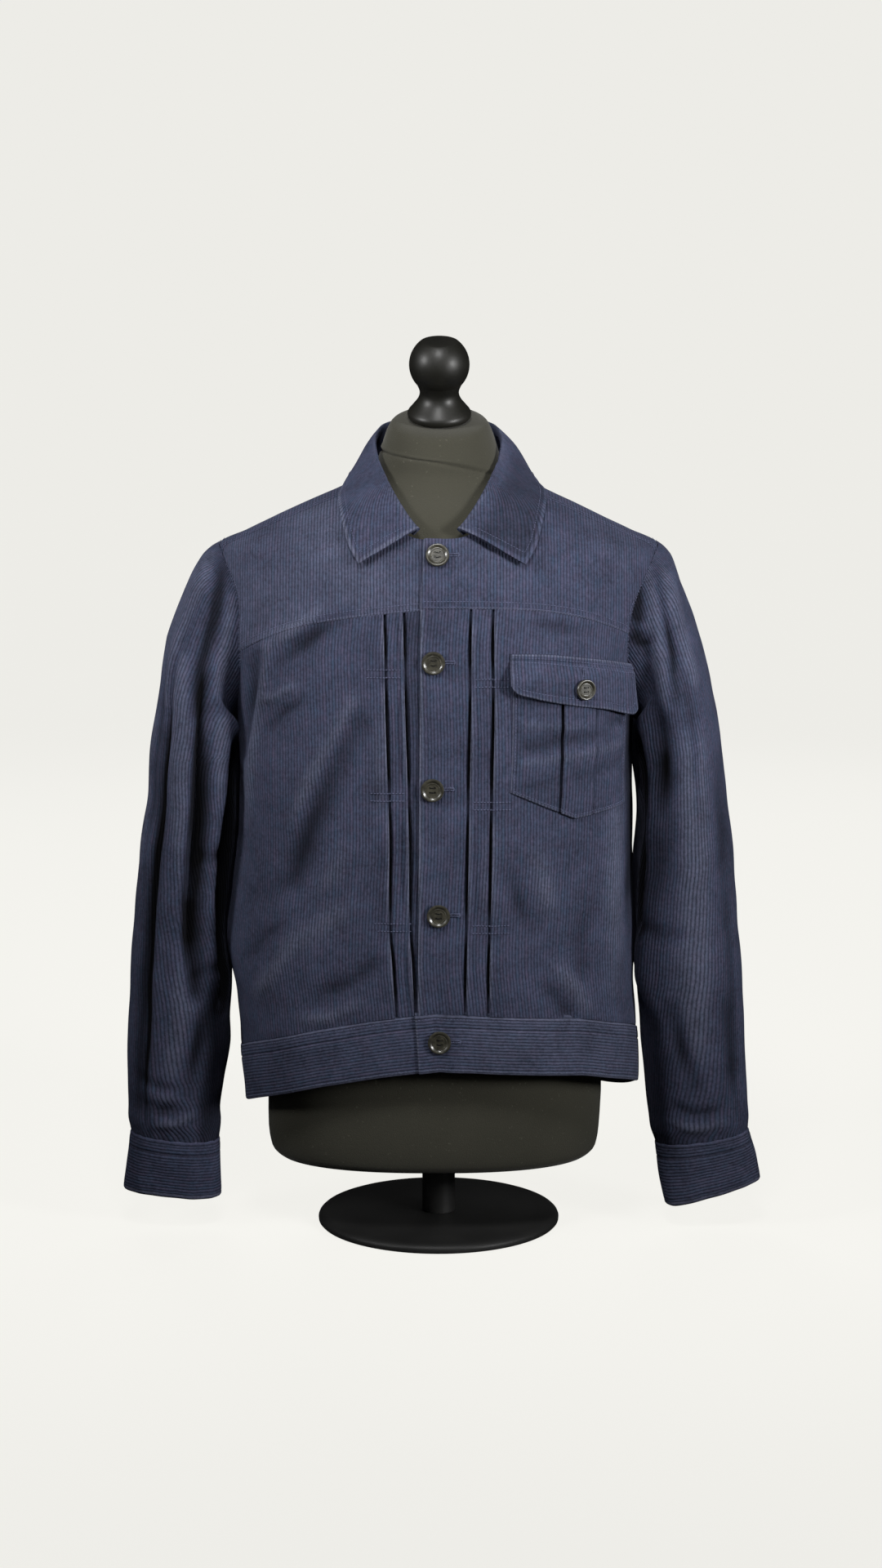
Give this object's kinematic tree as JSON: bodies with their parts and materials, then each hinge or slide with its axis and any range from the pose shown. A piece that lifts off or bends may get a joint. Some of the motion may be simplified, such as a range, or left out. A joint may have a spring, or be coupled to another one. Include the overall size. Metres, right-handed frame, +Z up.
{
  "type": "corduroy overshirt on a limbless dress form",
  "caption": "Buttoned corduroy overshirt with spread collar, yokes, knife pleats, chest pocket and waistband, worn on a limbless dress form with a turned knob on a low round stand.",
  "frame": {"origin": "centre of the stand's flat underside", "axes": "+Z up, -Y toward the jacket's front, +X toward the wearer's left"},
  "size_m": [0.6525, 0.2723, 0.9149],
  "materials": {
    "corduroy": "navy eight-wale cotton corduroy, soft pile",
    "jersey": "dark olive-grey jersey drawn tight over the form",
    "lacquer": "near-black gloss lacquer on turned wood",
    "horn": "dark mottled horn-like resin, polished rim",
    "steel": "satin black powder coat"
  },
  "bodies": {
    "root": {"front_left": "corduroy", "front_right": "corduroy", "front_yoke_left": "corduroy", "front_yoke_right": "corduroy", "back_yoke": "corduroy", "back_panel": "corduroy", "waistband": "corduroy", "sleeve_left": "corduroy", "sleeve_right": "corduroy", "cuff_left": "corduroy", "cuff_right": "corduroy", "collar": "corduroy", "chest_pocket": "corduroy", "pocket_flap": "corduroy", "front_button_1": "horn", "front_button_2": "horn", "front_button_3": "horn", "front_button_4": "horn", "front_button_5": "horn", "pocket_button": "horn", "form_torso": "jersey", "form_knob": "lacquer", "stand_base": "steel", "stand_pole": "steel"}
  },
  "joints": []
}
